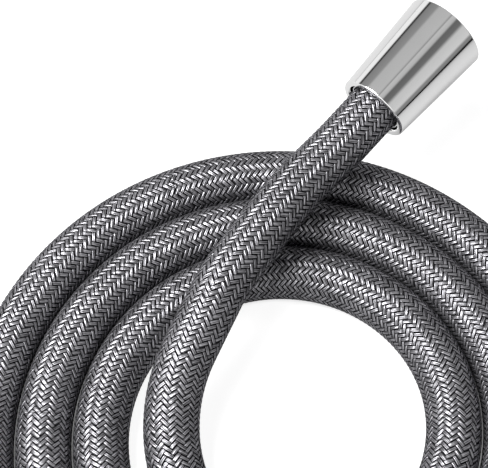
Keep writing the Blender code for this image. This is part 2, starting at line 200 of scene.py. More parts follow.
# Steps along the hose, and how close two vertices of a seam are
ANGLE_STEP = 0.5
HEADING_STEP = 0.0008
BORE_STEP = 0.008
LINER_STEP = 0.0025
SEAM_GAP = 0.0000005
JACKETS = 4
COLUMNS_PER_YARN = 4
RINGS_PER_PATH_POINT = 4

# Edges sharper than this keep a crease
PIECE_SHARP = radians(40)
FITTING_SHARP = radians(30)

# Conical end: centre of the nut's rear face, and heights up its axis
CONE_TILT = radians(6.5)
CONE_PLACE = COIL_CENTRE + Vector((0.0795, 0.0401, COIL_HEIGHT + 0.0201))
CONE_AXIS = Vector((cos(CONE_TILT), 0.0, sin(CONE_TILT)))
HOSE_IN_CONE = 0.0080
CONE_FERRULE_LOW = 0.0009
CONE_LENGTH = 0.0315
CONE_REAR_R = 0.01025
REAR_BORE_R = 0.00835
THREAD_R = 0.0093
THREAD_ROOT_R = 0.01040
THREAD_PITCH = 0.001814
RELIEF_R = 0.00989
NUT_R = 0.0120
CONE_SEAT_Z = 0.0130
CONE_WASHER_TOP = 0.0196
CONE_CRIMPS = (0.0029, 0.0056)

# Both nuts and both sleeves
THREAD_RELIEF = 0.0016
THREAD_FADE = 0.0012
THREAD_RINGS = 10
NUT_RIM_R = 0.0005
MOUTH_CHAMFER = 0.0004
BORE_LIP_R = 0.0006
CRIMP_DEPTH = 0.00016
CRIMP_HALF = 0.0006
TOUCHING = 0.000001

# Hexagonal end
HEX_PLACE = Vector((COIL_CENTRE.x + 0.0722, -0.062163, NUT_R))
HEX_AXIS = Vector((1.0, 0.0, 0.0))
HOSE_IN_HEX = 0.0048
HEX_FERRULE_LOW = -0.0087
HEX_LENGTH = 0.0160
HEX_NECK_R = 0.01025
HEX_NECK = 0.0030
HEX_NECK_RIM_R = 0.0006
HEX_FACE_R = NUT_R - 0.0003
HEX_CORNER_R = 0.013456
HEX_CHAMFER_SLOPE = 0.577
HEX_SEAT_Z = 0.0035
HEX_WASHER_TOP = 0.0092
HEX_CRIMPS = (-0.0064, -0.0028)

# A yarn's look. Places are in yarns, across it or along its float; shades are times its colour
YARN_EDGE = (0.26, 0.41)
FLOAT_END = (0.75, 1.0)
FLOAT_END_SHADE = 0.45
# Near black: the painted shade in the gaps between yarns and where a float dives
PAINTED_GAP_SHADE = (0.002, 0.002, 0.003)
DARK_FILAMENT = 0.16
BRIGHT_FILAMENT = 1.90
RIGHT_YARN_SEED = 0.37
LEFT_YARN_SEED = 100.61
WANDER_ACROSS = 3.0
WANDER_ALONG = 0.5
WANDER_BY_YARN = 7.31
FILAMENTS_ACROSS = 17.0
FILAMENT_SWAY = 3.0
FILAMENT_SHIFT = 2.4
YARN_RELIEF = 0.00040

# Grain of the other materials: repeats a metre, and depth
METAL_CLOUD = 160.0
SCRATCHES = 3200.0
SCRATCH_DEPTH = 0.00001
PLASTIC_CLOUD = 420.0
PLASTIC_GRAIN = 2600.0
PLASTIC_GRAIN_DEPTH = 0.00002


# ---------------------------------------------------------------- sizes and colours


class HoseSizes(bpy.types.PropertyGroup):
    """Sizes of the braid."""

    yarns: IntProperty(
        name="Yarns",
        description="Yarns that wind each way round the hose",
        default=24,
        min=8,
        max=48,
    )
    lay: FloatProperty(
        name="Lay",
        description="Length of hose in one turn of a yarn",
        default=0.0394,
        unit="LENGTH",
    )
    crown: FloatProperty(name="Crown", description="Radius over the yarns", default=0.00735, unit="LENGTH")
    wave: FloatProperty(
        name="Wave",
        description="How far a yarn rises and dips",
        default=0.00010,
        unit="LENGTH",
    )
    roundness: FloatProperty(
        name="Roundness",
        description="Height of a yarn's round back",
        default=0.00038,
        unit="LENGTH",
    )


class HoseColours(bpy.types.PropertyGroup):
    """Colours of the pieces."""

    yarn: FloatVectorProperty(
        name="Yarn",
        description="Silver-grey filament yarn",
        subtype="COLOR",
        default=(0.292, 0.288, 0.305),
    )
    chrome: FloatVectorProperty(
        name="Chrome",
        description="Chrome plate",
        subtype="COLOR",
        default=(0.81, 0.81, 0.81),
    )


# ---------------------------------------------------------------- materials


class Value:
    """A number in a material. Arithmetic on it adds Math nodes."""

    def __init__(self, finish, socket):
        self.finish = finish
        self.socket = socket

    def math(self, operation, *others):
        return self.finish.math(operation, self, *others)

    def __add__(self, other):
        return self.math("ADD", other)

    def __sub__(self, other):
        return self.math("SUBTRACT", other)

    def __rsub__(self, other):
        return self.finish.math("SUBTRACT", other, self)

    def __mul__(self, other):
        return self.math("MULTIPLY", other)

    def __truediv__(self, other):
        return self.math("DIVIDE", other)

    def __neg__(self):
        return self * -1.0

    def __abs__(self):
        return self.math("ABSOLUTE")

    def __lt__(self, other):
        return self.math("LESS_THAN", other)

    __radd__ = __add__
    __rmul__ = __mul__


class Finish:
    """A material being made: a Principled shader and what feeds it."""

    def __init__(self, name, **fixed):
        self.material = bpy.data.materials.new(name)
        self.material.use_nodes = True
        self.tree = self.material.node_tree
        self.tree.nodes.clear()
        self.shader = self.add("ShaderNodeBsdfPrincipled")
        self.add("ShaderNodeOutputMaterial", inputs={"Surface": self.shader.outputs[0]})
        for socket, value in fixed.items():
            self.feed(socket.replace("_", " "), value)

    @classmethod
    def of_tree(cls, tree):
        """The same helpers for a tree that has no Principled shader."""
        finish = cls.__new__(cls)
        finish.tree = tree
        finish.tree.nodes.clear()
        return finish

    def add(self, kind, settings=None, inputs=None):
        node = self.tree.nodes.new(kind)
        for name, value in (settings or {}).items():
            if name == "stops":
                elements = node.color_ramp.elements
                for position, colour in value[1:-1]:
                    elements.new(position)
                elements[0].position = value[0][0]
                elements[-1].position = value[-1][0]
                for element, (position, colour) in zip(elements, value):
                    element.color = (*colour, 1.0)
            else:
                setattr(node, name, value)
        for key, value in (inputs or {}).items():
            self.put(node.inputs[key], value)
        return node

    def put(self, socket, value):
        if isinstance(value, Value):
            value = value.socket
        if isinstance(value, bpy.types.NodeSocket):
            self.tree.links.new(value, socket)
        elif socket.type == "RGBA" and len(value) == 3:
            socket.default_value = (*value, 1.0)
        else:
            socket.default_value = value

    def feed(self, socket, value):
        self.put(self.shader.inputs[socket], value)

    def math(self, operation, *values):
        node = self.add("ShaderNodeMath", {"operation": operation}, dict(enumerate(values)))
        return Value(self, node.outputs[0])

    def clamp(self, value):
        node = self.add("ShaderNodeClamp", inputs={"Value": value})
        return Value(self, node.outputs[0])

    def ramp(self, value, start, end):
        """A smooth rise from 0 to 1 between two values."""
        settings = {"interpolation_type": "SMOOTHSTEP"}
        inputs = {"Value": value, "From Min": start, "From Max": end}
        return Value(self, self.add("ShaderNodeMapRange", settings, inputs).outputs[0])

    def mix(self, factor, low, high):
        settings = {"data_type": "RGBA", "blend_type": "MIX"}
        node = self.add("ShaderNodeMix", settings, {"Factor": factor, 6: low, 7: high})
        return node.outputs[2]

    def place(self):
        return self.add("ShaderNodeTexCoord").outputs["Object"]

    def dot(self, vector, direction):
        node = self.add("ShaderNodeVectorMath", {"operation": "DOT_PRODUCT"}, {0: vector, 1: direction})
        return Value(self, node.outputs["Value"])

    def noise(self, vector, scale, detail=2.0, roughness=0.5):
        inputs = {"Vector": vector, "Scale": scale, "Detail": detail, "Roughness": roughness}
        node = self.add("ShaderNodeTexNoise", {"noise_dimensions": "3D"}, inputs)
        return Value(self, node.outputs["Fac"])

    def vector(self, x, y, z):
        return self.add("ShaderNodeCombineXYZ", inputs={0: x, 1: y, 2: z}).outputs[0]

    def chance(self, value):
        """A steady random number, 0 to 1, for a number."""
        inputs = {"Vector": self.vector(value, 0.0, 0.0)}
        node = self.add("ShaderNodeTexWhiteNoise", {"noise_dimensions": "3D"}, inputs)
        return Value(self, node.outputs["Value"])

    def ray_kinds(self):
        """Whether a ray comes straight from the camera, and whether a mirror or glass sent it on."""
        paths = self.add("ShaderNodeLightPath").outputs
        sent_on = self.math("MAXIMUM", Value(self, paths["Is Glossy Ray"]), paths["Is Transmission Ray"])
        return Value(self, paths["Is Camera Ray"]), sent_on

    def bump(self, height, distance, strength=1.0):
        values = {"Height": height, "Distance": distance, "Strength": strength}
        self.feed("Normal", self.add("ShaderNodeBump", inputs=values).outputs[0])


def nearest(value):
    return value.math("ROUND")


def braid_finish(sizes, colours):
    """Flat yarns of fine filaments, each over two and under two, with painted shade in the gaps beside them and where
    they dive.
    """
    f = Finish("braid", Metallic=0.85, Specular_IOR_Level=0.25, Specular_Tint=(0.08, 0.08, 0.08))
    uv = f.add("ShaderNodeUVMap", {"uv_map": "Weave"}).outputs[0]
    split = f.add("ShaderNodeSeparateXYZ", inputs={0: uv})
    around = Value(f, split.outputs[0]) * float(sizes.yarns)
    along = Value(f, split.outputs[1]) * float(sizes.yarns)
    right, left = around + along, around - along
    right_yarn, left_yarn = nearest(right), nearest(left)
    in_right, in_left = right - right_yarn, left - left_yarn

    # The weave repeats every four crossings. In the first two the right-hand yarn is on top
    step = nearest((right_yarn + left_yarn).math("FLOORED_MODULO", 4.0)).math("FLOORED_MODULO", 4.0)
    right_on_top = step < 1.5
    left_on_top = 1.0 - right_on_top
    across = in_right * right_on_top + in_left * left_on_top
    length = right_on_top * (in_left + step - 0.5) + left_on_top * (in_right + step - 2.5)
    yarn = right_on_top * (right_yarn + RIGHT_YARN_SEED) + left_on_top * (left_yarn + LEFT_YARN_SEED)
    # Painted shade: the colour turns near black towards a yarn's edges, and partly so at a float's ends where it
    # dives; the same mask roughens it
    gap_shade = f.clamp(f.ramp(abs(across), *YARN_EDGE) + f.ramp(abs(length), *FLOAT_END) * FLOAT_END_SHADE)

    place = f.vector(across * WANDER_ACROSS, length * WANDER_ALONG, yarn * WANDER_BY_YARN)
    wander = f.noise(place, 1.0, 1.0)
    filament = (across * FILAMENTS_ACROSS + wander * FILAMENT_SWAY + yarn * FILAMENT_SHIFT).math("COSINE")
    light = f.clamp(0.48 + filament * 0.34 + (wander - 0.5) * 1.6 + (f.chance(yarn) - 0.5) * 0.15)
    dark = tuple(c * DARK_FILAMENT for c in colours.yarn)
    bright = tuple(min(1.0, c * BRIGHT_FILAMENT) for c in colours.yarn)
    f.feed("Base Color", f.mix(gap_shade, f.mix(light, dark, bright), PAINTED_GAP_SHADE))
    f.feed("Roughness", f.clamp(0.30 + 0.06 * (1.0 - light) + gap_shade * 0.6))

    # A flat back that falls off at both edges, with filaments on it, and lower where the float dives
    square = across * across
    back = 1.0 - square * square * 16.0
    f.bump(back * 0.40 - square * 0.3 + filament * 0.10 - length * length * 0.22, YARN_RELIEF)
    return f.material


def plastic_finish(name, colour, roughness):
    """Moulded plastic or rubber, a little cloudy, with a fine grain."""
    f = Finish(name)
    cloud = f.noise(f.place(), PLASTIC_CLOUD, 3.0)
    f.feed("Base Color", f.mix(cloud, tuple(c * 0.93 for c in colour), colour))
    f.feed("Roughness", roughness - 0.05 + 0.1 * cloud)
    f.bump(f.noise(f.place(), PLASTIC_GRAIN), PLASTIC_GRAIN_DEPTH, 0.5)
    return f.material


def metal_finish(name, colour, roughness, spread, scratches=0.0):
    """Turned or plated metal, with a faint wander in its polish."""
    f = Finish(name, Metallic=1.0)
    cloud = f.noise(f.place(), METAL_CLOUD, 3.0)
    f.feed("Base Color", f.mix(cloud, tuple(c * 0.95 for c in colour), colour))
    f.feed("Roughness", f.clamp(roughness + spread * (cloud - 0.5)))
    if scratches:
        f.bump(f.noise(f.place(), SCRATCHES), SCRATCH_DEPTH, scratches)
    return f.material


def chrome_finish(colours):
    """The one chrome plate that both nuts share."""
    made = bpy.data.materials.get("chrome_plate")
    return made or metal_finish("chrome_plate", colours.chrome, 0.07, 0.03)


# ---------------------------------------------------------------- meshes


def add_piece(name, mesh, material, body, slot, replaced, sharp=PIECE_SHARP):
    """Links a finished mesh as an object that rides a body and stands for CAD nodes."""
    piece = bpy.data.objects.new(name, mesh)
    bpy.context.scene.collection.objects.link(piece)
    mesh.materials.clear()
    mesh.materials.append(material)
    mesh.shade_smooth()
    if sharp:
        mesh.set_sharp_from_angle(angle=sharp)
    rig.ride(piece, body)
    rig.slot(piece, slot)
    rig.replaces(piece, *replaced)
    return piece


def arc(centre_r, centre_z, radius, start, end, steps=6):
    """Points of an arc in the (radius, height) plane; angles in degrees."""
    angles = [radians(start + (end - start) * k / steps) for k in range(steps + 1)]
    return [(centre_r + radius * cos(a), centre_z + radius * sin(a)) for a in angles]


def stand(place, axis):
    """The matrix that lays a piece turned round Z along an axis at a place, its Y as upright as can be."""
    upright = (Vector((0.0, 0.0, 1.0)) - axis * axis.z).normalized()
    turn = Matrix((upright.cross(axis), upright, axis)).transposed()
    return Matrix.Translation(place) @ turn.to_4x4()


def turned(outline, matrix, sides, shape=None):
    """A closed (radius, height) outline spun round Z, shaped by shape(bm), and put in place."""
    bm = bmesh.new()
    ring = [bm.verts.new((r, 0.0, z)) for r, z in outline]
    edges = [bm.edges.new(pair) for pair in zip(ring, ring[1:] + ring[:1])]
    bmesh.ops.spin(
        bm,
        geom=ring + edges,
        cent=(0.0, 0.0, 0.0),
        axis=(0.0, 0.0, 1.0),
        angle=2 * pi,
        steps=sides,
        use_merge=True,
    )
    if shape:
        shape(bm)
    bmesh.ops.transform(bm, matrix=matrix, verts=bm.verts)
    bmesh.ops.recalc_face_normals(bm, faces=bm.faces)
    return to_mesh(bm)


def close_seam(bm):
    """Joins a rolled-up grid along its seam, with all its faces outwards."""
    seam = [v for v in bm.verts if v.is_boundary]
    bmesh.ops.remove_doubles(bm, verts=seam, dist=SEAM_GAP)
    bmesh.ops.recalc_face_normals(bm, faces=bm.faces)


def to_mesh(bm, name="piece"):
    mesh = bpy.data.meshes.new(name)
    bm.to_mesh(mesh)
    bm.free()
    return mesh


# ---------------------------------------------------------------- the hose's line


def share_of(value, start, end):
    """How far a value has come from start to end, 0 to 1."""
    return min(1.0, max(0.0, (value - start) / (end - start)))


def coil_point(angle):
    """The hose's centreline at an angle in degrees, anticlockwise from +X."""
    drawn = share_of(angle, *DRAW_ANGLES)
    climbed = share_of(angle, *CLIMB_ANGLES)
    hump = drawn**2 * (1 - drawn) * 27 / 4
    ramp = climbed**2 * (3 - 2 * climbed)
    radius = START_RADIUS + PITCH * angle / 360 - INNER_DRAW * hump
    turn = radians(angle)
    height = COIL_HEIGHT + CLIMB_HEIGHT * ramp
    return COIL_CENTRE + Vector((radius * cos(turn), radius * sin(turn), height))


def coil_heading(angle):
    return (coil_point(angle + ANGLE_STEP) - coil_point(angle - ANGLE_STEP)).normalized()


def smooth_curve(points, start_heading, end_heading, steps=60):
    """Points of a smooth curve through the given ones, with its headings at both ends."""
    spans = [(b - a).length for a, b in zip(points, points[1:])]
    slopes = [start_heading.normalized()]
    for k in range(1, len(points) - 1):
        slopes.append((points[k + 1] - points[k - 1]) / (spans[k - 1] + spans[k]))
    slopes.append(end_heading.normalized())
    fine = [points[0]]
    for k, span in enumerate(spans):
        for j in range(1, steps + 1):
            t = j / steps
            fine.append(
                points[k] * (2 * t**3 - 3 * t**2 + 1)
                + slopes[k] * span * (t**3 - 2 * t**2 + t)
                + points[k + 1] * (3 * t**2 - 2 * t**3)
                + slopes[k + 1] * span * (t**3 - t**2)
            )
    return fine


def free_line(start, heading, own_points, end, end_heading, straight):
    """The hose from one end of the coil, by points of its own, to a nut that it enters straight."""
    first = start + heading * LEAD_IN
    last = end - end_heading * straight
    middle = [COIL_CENTRE + Vector(p) + Vector((0.0, 0.0, COIL_HEIGHT)) for p in own_points]
    return [start, *smooth_curve([first, *middle, last], heading, end_heading), end]


class HoseLine:
    """The hose's centreline from the conical nut, round the coil, to the hexagonal nut."""

    def __init__(self):
        angles = np.arange(INNER_ANGLE, OUTER_ANGLE, ANGLE_STEP)
        coil = [coil_point(a) for a in angles] + [coil_point(OUTER_ANGLE)]
        inner = -coil_heading(INNER_ANGLE)
        outer = coil_heading(OUTER_ANGLE)
        outer = Vector((outer.x, outer.y, 0.0)).normalized()
        coil = [coil[0] + inner * HOSE_OD, *coil, coil[-1] + outer * HOSE_OD]
        cone_end = CONE_PLACE + CONE_AXIS * HOSE_IN_CONE
        hex_end = HEX_PLACE + HEX_AXIS * HOSE_IN_HEX
        lead = free_line(coil[0], inner, LEAD_ROUTE, cone_end, CONE_AXIS, HOSE_IN_CONE + NUT_TRAVEL)
        tail = free_line(coil[-1], outer, TAIL_ROUTE, hex_end, HEX_AXIS, HOSE_IN_HEX + NUT_TRAVEL)
        points = np.array([*reversed(lead), *coil[1:], *tail[1:]])
        self.points = points
        gaps = np.linalg.norm(np.diff(points, axis=0), axis=1)
        self.reach = np.concatenate([[0.0], np.cumsum(gaps)])
        self.length = float(self.reach[-1])
        self.coil_start = float(self.reach[len(lead) - 1])
        self.coil_end = float(self.reach[len(lead) + len(coil) - 2])

    def at(self, distances):
        """Centres, sideways and upward directions at distances along the line."""
        distances = np.clip(np.asarray(distances, float), 0.0, self.length)
        centres = self.pick(distances)
        ahead = self.pick(np.minimum(distances + HEADING_STEP, self.length))
        behind = self.pick(np.maximum(distances - HEADING_STEP, 0.0))
        heading = ahead - behind
        heading /= np.linalg.norm(heading, axis=1)[:, None]
        side = np.cross(heading, (0.0, 0.0, 1.0))
        side /= np.linalg.norm(side, axis=1)[:, None]
        return centres, side, np.cross(side, heading)

    def pick(self, distances):
        return np.stack([np.interp(distances, self.reach, self.points[:, k]) for k in range(3)], axis=1)


# ---------------------------------------------------------------- the braid


def yarn_heights(right, left, sizes):
    """How far the braid's surface stands over its valleys, in metres, at places counted in yarns."""

    def one(across, along):
        back = np.sqrt(1 - 0.9 * np.minimum(1.0, (2 * across) ** 2))
        return sizes.wave * (1 - np.abs(along) ** 3) + sizes.roundness * back

    right_yarn, left_yarn = np.round(right), np.round(left)
    over = one(right - right_yarn, np.mod(left + right_yarn + 1.5, 4) - 2)
    under = one(left - left_yarn, np.mod(right + left_yarn - 0.5, 4) - 2)
    return np.maximum(over, under)


def jacket(line, sizes, start_ring, end_ring, ring_step, around):
    """A length of braided jacket with its bore, as a closed mesh with the weave's own UV map."""
    lay = ring_step * around
    outer = np.arange(start_ring, end_ring + 1) * ring_step
    bore_steps = max(2, round((outer[-1] - outer[0]) / BORE_STEP))
    bore = np.linspace(outer[-1], outer[0], bore_steps + 1)
    distances = np.concatenate([outer, bore, outer[:1]])
    is_outer = np.concatenate([np.ones(len(outer)), np.zeros(len(bore)), np.ones(1)]) > 0

    bm = bmesh.new()
    bm.loops.layers.uv.new("Weave")
    bmesh.ops.create_grid(bm, x_segments=around, y_segments=len(distances) - 1, size=0.5, calc_uvs=True)
    mesh = to_mesh(bm)
    flat = np.zeros(len(mesh.vertices) * 3, np.float32)
    mesh.vertices.foreach_get("co", flat)
    flat = flat.reshape(-1, 3).astype(float)
    column = np.rint((flat[:, 0] + 0.5) * around)
    row = np.rint((flat[:, 1] + 0.5) * (len(distances) - 1)).astype(int)
    angle = 2 * pi * column / around
    centre, side, up = line.at(distances)
    turns = column / around
    lays = distances[row] / lay
    n = sizes.yarns
    relief = yarn_heights(n * (turns + lays), n * (turns - lays), sizes)
    valley = sizes.crown - sizes.wave - sizes.roundness
    radius = np.where(is_outer[row], valley + relief, JACKET_BORE_R)
    spoke = np.cos(angle)[:, None] * side[row] + np.sin(angle)[:, None] * up[row]
    place = centre[row] + radius[:, None] * spoke
    place[:, 2] = np.maximum(place[:, 2], 0.0)
    mesh.vertices.foreach_set("co", place.astype(np.float32).ravel())
    uv = np.zeros(len(mesh.loops) * 2, np.float32)
    mesh.uv_layers["Weave"].uv.foreach_get("vector", uv)
    uv = uv.reshape(-1, 2)
    loop_row = np.rint(uv[:, 1] * (len(distances) - 1)).astype(int)
    uv[:, 1] = distances[loop_row] / lay
    mesh.uv_layers["Weave"].uv.foreach_set("vector", uv.ravel())

    bm = bmesh.new()
    bm.from_mesh(mesh)
    bpy.data.meshes.remove(mesh)
    close_seam(bm)
    return to_mesh(bm), [tuple(p) for p in centre[is_outer][:-1:RINGS_PER_PATH_POINT]]


class HOSE_OT_jackets(bpy.types.Operator):
    """Braid the jacket over the lead, the coil and the tail"""

    bl_idname = "hose.jackets"
    bl_label = "Braided Jacket"

    def execute(self, context):
        sizes, colours = context.scene.hose_sizes, context.scene.hose_colours
        finish = braid_finish(sizes, colours)
        line = HoseLine()
        around = COLUMNS_PER_YARN * sizes.yarns
        rings = round(line.length / (sizes.lay / around))
        ring_step = line.length / rings
        cuts = [round(rings * k / JACKETS) for k in range(JACKETS + 1)]
        names = ("jacket_a", "jacket_b", "jacket_c", "jacket_d")
        stands_for = (
            ("hose_lead_braid", "hose_coil_braid"),
            ("hose_coil_braid",),
            ("hose_coil_braid",),
            ("hose_coil_braid", "hose_tail_braid"),
        )
        for name, nodes, start, end in zip(names, stands_for, cuts, cuts[1:]):
            mesh, path = jacket(line, sizes, start, end, ring_step, around)
            piece = add_piece(name, mesh, finish, "hose", "braid", nodes, sharp=None)
            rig.cord(
                piece,
                exit=path[0],
                length=(end - start) * ring_step,
                diameter=HOSE_OD,
                far_end="object",
                stiffness="stiff",
                lay="coiled",
                path=path,
            )
        return {"FINISHED"}


class HOSE_OT_liners(bpy.types.Operator):
    """Run the plastic liner through the jacket"""

    bl_idname = "hose.liners"
    bl_label = "Liner"

    def execute(self, context):
        finish = plastic_finish("liner_plastic", (0.80, 0.82, 0.83), 0.35)
        line = HoseLine()
        cuts = [0.0, line.coil_start, line.coil_end, line.length]
        for stretch, start, end in zip(("lead", "coil", "tail"), cuts, cuts[1:]):
            out = np.linspace(start, end, round((end - start) / LINER_STEP) + 1)
            back = out[::-1]
            distances = np.concatenate([out, back, out[:1]])
            radii = np.concatenate([out * 0 + LINER_R, back * 0 + LINER_BORE_R, [LINER_R]])
            bm = bmesh.new()
            bmesh.ops.create_grid(bm, x_segments=24, y_segments=len(distances) - 1, size=0.5)
            centre, side, up = line.at(distances)
            for vertex in bm.verts:
                row = round((vertex.co.y + 0.5) * (len(distances) - 1))
                angle = 2 * pi * (vertex.co.x + 0.5)
                spoke = side[row] * cos(angle) + up[row] * sin(angle)
                vertex.co = Vector(centre[row] + radii[row] * spoke)
            close_seam(bm)
            add_piece(f"{stretch}_liner", to_mesh(bm), finish, "hose", "liner", [f"hose_{stretch}_liner"])
        return {"FINISHED"}


# ---------------------------------------------------------------- union nuts


def nut_bore(seat, length, washer_top):
    """The inside of a union nut from its mouth down to its rear face, finely stepped along its thread."""
    relief_top = washer_top + THREAD_RELIEF
    slope = RELIEF_R - THREAD_R
    thread_top = length - MOUTH_CHAMFER
    thread_low = relief_top + slope
    steps = round((thread_top - thread_low) / (THREAD_PITCH / THREAD_RINGS))
    thread = [(THREAD_R, thread_top + (thread_low - thread_top) * k / steps) for k in range(steps + 1)]
    return [
        (THREAD_R + MOUTH_CHAMFER, length),
        *thread,
        (RELIEF_R, relief_top),
        (RELIEF_R, washer_top + slope),
        (THREAD_R, washer_top),
        (THREAD_R, seat),
        (REAR_BORE_R, seat),
        *arc(REAR_BORE_R + BORE_LIP_R, BORE_LIP_R, BORE_LIP_R, 180, 268),
    ]


def cut_thread(low, high):
    """Presses a helical thread into the bore between two heights."""

    def shape(bm):
        for vertex in bm.verts:
            r = vertex.co.xy.length
            z = vertex.co.z
            if abs(r - THREAD_R) > TOUCHING or not low - TOUCHING <= z <= high + TOUCHING:
                continue
            angle = np.arctan2(vertex.co.y, vertex.co.x)
            phase = (z / THREAD_PITCH - angle / (2 * pi)) % 1.0
            tooth = min(1.0, max(0.0, 1.25 - 2.5 * abs(phase - 0.5)))
            fade = share_of(z, low, low + THREAD_FADE) * share_of(z, high, high - THREAD_FADE)
            stretch = (r + (THREAD_ROOT_R - THREAD_R) * tooth * fade) / r
            vertex.co.x *= stretch
            vertex.co.y *= stretch

    return shape


class HOSE_OT_cone_nut(bpy.types.Operator):
    """Turn the conical union nut"""

    bl_idname = "hose.cone_nut"
    bl_label = "Conical Nut"

    def execute(self, context):
        chrome = chrome_finish(context.scene.hose_colours)
        rear = arc(CONE_REAR_R - NUT_RIM_R, NUT_RIM_R, NUT_RIM_R, 270, 360, 8)
        mouth = arc(NUT_R - NUT_RIM_R, CONE_LENGTH - NUT_RIM_R, NUT_RIM_R, 0, 90, 8)
        bore = nut_bore(CONE_SEAT_Z, CONE_LENGTH, CONE_WASHER_TOP)
        low = CONE_WASHER_TOP + THREAD_RELIEF + RELIEF_R - THREAD_R
        mesh = turned(
            rear + mouth + bore,
            stand(CONE_PLACE, CONE_AXIS),
            sides=160,
            shape=cut_thread(low, CONE_LENGTH - MOUTH_CHAMFER),
        )
        add_piece("conical_nut", mesh, chrome, "cone_nut", "chrome", ["cone_nut"])
        return {"FINISHED"}


def press_flats(bm):
    """Presses six flats on whatever stands out past them."""
    for vertex in bm.verts:
        x, y, z = vertex.co
        if z < HEX_NECK - TOUCHING:
            continue
        angle = np.arctan2(y, x)
        off_flat = angle % (pi / 3) - pi / 6
        reach = NUT_R / cos(off_flat)
        r = vertex.co.xy.length
        if r > reach:
            vertex.co.x *= reach / r
            vertex.co.y *= reach / r


class HOSE_OT_hex_nut(bpy.types.Operator):
    """Turn the hexagonal union nut and press its flats"""

    bl_idname = "hose.hex_nut"
    bl_label = "Hexagonal Nut"

    def execute(self, context):
        chrome = chrome_finish(context.scene.hose_colours)
        width = HEX_CORNER_R - HEX_FACE_R
        rise = width * HEX_CHAMFER_SLOPE
        chamfer = [(HEX_FACE_R + width * k / 12, rise * k / 12) for k in range(13)]
        rear = [
            *arc(HEX_NECK_R - HEX_NECK_RIM_R, HEX_NECK_RIM_R, HEX_NECK_RIM_R, 270, 360),
            (HEX_NECK_R, HEX_NECK),
            *[(r, HEX_NECK + z) for r, z in chamfer],
        ]
        mouth = [(r, HEX_LENGTH - z) for r, z in reversed(chamfer)]
        flat = HEX_LENGTH - HEX_NECK - 2 * rise
        side = [(HEX_CORNER_R, HEX_NECK + rise + flat * k / 6) for k in range(1, 6)]
        bore = nut_bore(HEX_SEAT_Z, HEX_LENGTH, HEX_WASHER_TOP)
        low = HEX_WASHER_TOP + THREAD_RELIEF + RELIEF_R - THREAD_R
        thread = cut_thread(low, HEX_LENGTH - MOUTH_CHAMFER)

        def shape(bm):
            press_flats(bm)
            thread(bm)

        mesh = turned(rear + side + mouth + bore, stand(HEX_PLACE, HEX_AXIS), sides=144, shape=shape)
        add_piece("hexagonal_nut", mesh, chrome, "hex_nut", "chrome", ["hex_nut"])
        return {"FINISHED"}


def sleeve(low, high, crimps):
    """The outline of a thin sleeve with rolled ends, and grooves where it is crimped."""
    wall = FERRULE_R - FERRULE_IN_R
    middle = FERRULE_R - wall / 2
    outline = arc(middle, low + wall / 2, wall / 2, 180, 360, 8)
    for crimp in crimps:
        for k in range(-6, 7):
            depth = CRIMP_DEPTH * (1 + cos(pi * k / 6)) / 2
            outline.append((FERRULE_R - depth, crimp + CRIMP_HALF * k / 6))
    return outline + arc(middle, high - wall / 2, wall / 2, 0, 180, 8)


class HOSE_OT_ferrules(bpy.types.Operator):
    """Crimp a sleeve over each end of the hose"""

    bl_idname = "hose.ferrules"
    bl_label = "Ferrules"

    def execute(self, context):
        steel = metal_finish("bright_steel", (0.66, 0.66, 0.67), 0.18, 0.06, 0.2)
        ends = (
            ("cone", CONE_FERRULE_LOW, HOSE_IN_CONE, CONE_CRIMPS, CONE_PLACE, CONE_AXIS),
            ("hex", HEX_FERRULE_LOW, HOSE_IN_HEX, HEX_CRIMPS, HEX_PLACE, HEX_AXIS),
        )
        for end, low, high, crimps, place, axis in ends:
            mesh = turned(sleeve(low, high, crimps), stand(place, axis), sides=96)
            add_piece(f"{end}_sleeve", mesh, steel, "hose", "steel", [f"{end}_ferrule"])
        return {"FINISHED"}


class HOSE_OT_fittings(bpy.types.Operator):
    """Give the inner fittings their metals, nylon and rubber"""

    bl_idname = "hose.fittings"
    bl_label = "Fittings"

    def execute(self, context):
        finishes = {
            "brass": metal_finish("turned_brass", (0.72, 0.55, 0.28), 0.28, 0.1, 0.3),
            "steel": metal_finish("stainless_steel", (0.62, 0.62, 0.63), 0.30, 0.1, 0.3),
            "nylon": plastic_finish("white_nylon", (0.85, 0.85, 0.82), 0.45),
            "rubber": plastic_finish("black_rubber", (0.03, 0.03, 0.03), 0.6),
        }
        slots = {part["node"]: part["material_slot"] for part in frame["record"]["subparts"]}
        for node, thing in frame["nodes"].items():
            if thing.hide_render or slots[node] not in finishes:
                continue
            thing.data.shade_smooth()
            thing.data.set_sharp_from_angle(angle=FITTING_SHARP)
            thing.data.materials.clear()
            thing.data.materials.append(finishes[slots[node]])
        return {"FINISHED"}


# ---------------------------------------------------------------- stage


# Reflected studio round the conical nut's axis: (angle in degrees from straight at the camera, grey)
STRIPS = (
    (-180, 0.80),
    (-150, 0.92),
    (-135, 1.05),
    (-95, 1.05),
    (-91, 0.03),
    (-87, 0.05),
    (-84, 0.26),
    (-62, 0.32),
    (-55, 0.54),
    (-20, 0.58),
    (-15, 0.30),
    (-13, 0.64),
    (-2, 0.55),
    (3, 0.15),
    (18, 0.18),
    (27, 0.66),
    (54, 0.74),
    (60, 0.28),
    (68, 0.26),
    (70, 0.01),
    (76, 0.01),
    (80, 0.80),
    (140, 0.80),
    (150, 0.45),
    (180, 0.45),
)
PANEL_BEHIND = (0.25, 0.5)
PANEL_ABOVE = (0.12, 0.3)
PANEL_WHITE = (1.5, 1.5, 1.5)
SOFT_LIGHT = (0.14, 0.14, 0.145)

LOOKED_AT = Vector((-0.04998, 0.07385, -0.00120))
TOWARDS_CAMERA = Vector((-0.3460, -0.3064, 0.8868)).normalized()
CAMERA_DISTANCE = 0.5024
SENSOR = 36.0
LENS = 131.8

TOWARDS_KEY = Vector((-0.323, 0.390, 0.861))
KEY_DISTANCE = 0.8
KEY_SIZE = 0.50
KEY_POWER = 13.2

